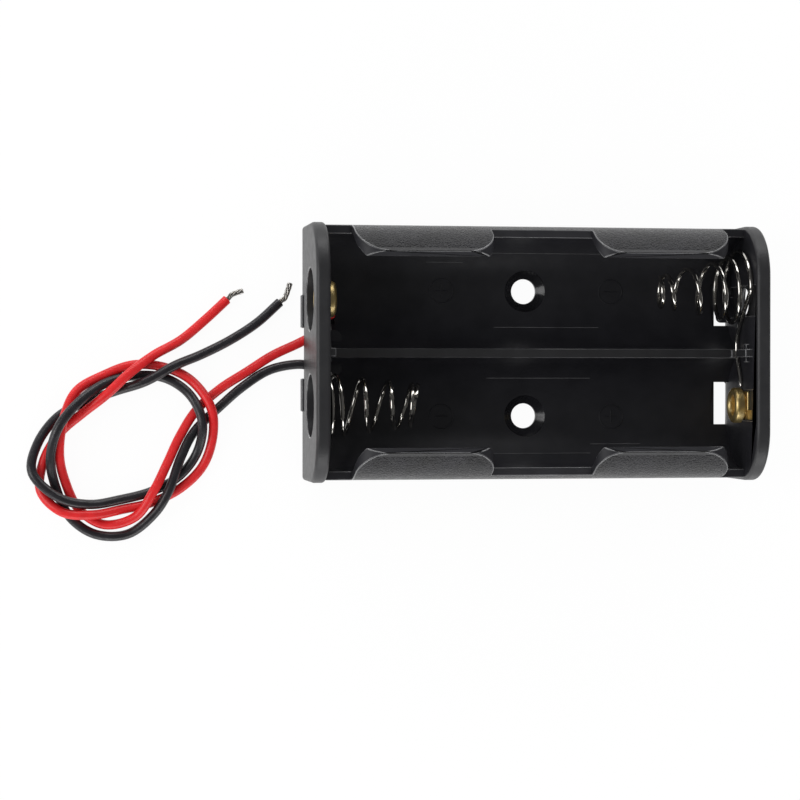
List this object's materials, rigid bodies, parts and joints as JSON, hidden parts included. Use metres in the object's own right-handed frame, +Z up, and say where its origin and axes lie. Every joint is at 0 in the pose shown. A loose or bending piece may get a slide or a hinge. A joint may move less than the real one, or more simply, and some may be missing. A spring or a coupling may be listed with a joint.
{
  "type": "cylindrical cell holder",
  "caption": "Open moulded holder for small cylindrical cells side by side in series, with snap lips, conical springs, brass buttons and free insulated leads.",
  "frame": {"origin": "middle of the housing's underside", "axes": "+Z up, towards the open side; +X along the cells, away from the leads; +Y across the cells, towards the one with its positive end by the leads"},
  "size_m": [0.092, 0.0394, 0.0153],
  "materials": {
    "housing_plastic": "black moulded ABS",
    "spring_wire": "bright nickel-plated spring steel",
    "contact_brass": "stamped brass",
    "red_insulation": "red PVC insulation",
    "black_insulation": "black PVC insulation",
    "tinned_copper": "tinned copper and solder"
  },
  "bodies": {
    "root": {"housing": "housing_plastic", "negative_spring": "spring_wire", "bridge_spring": "spring_wire", "positive_button": "contact_brass", "bridge_button": "contact_brass", "red_lead": "red_insulation", "red_strands": "tinned_copper", "red_solder": "tinned_copper", "black_lead": "black_insulation", "black_strands": "tinned_copper", "black_solder": "tinned_copper"}
  },
  "joints": []
}
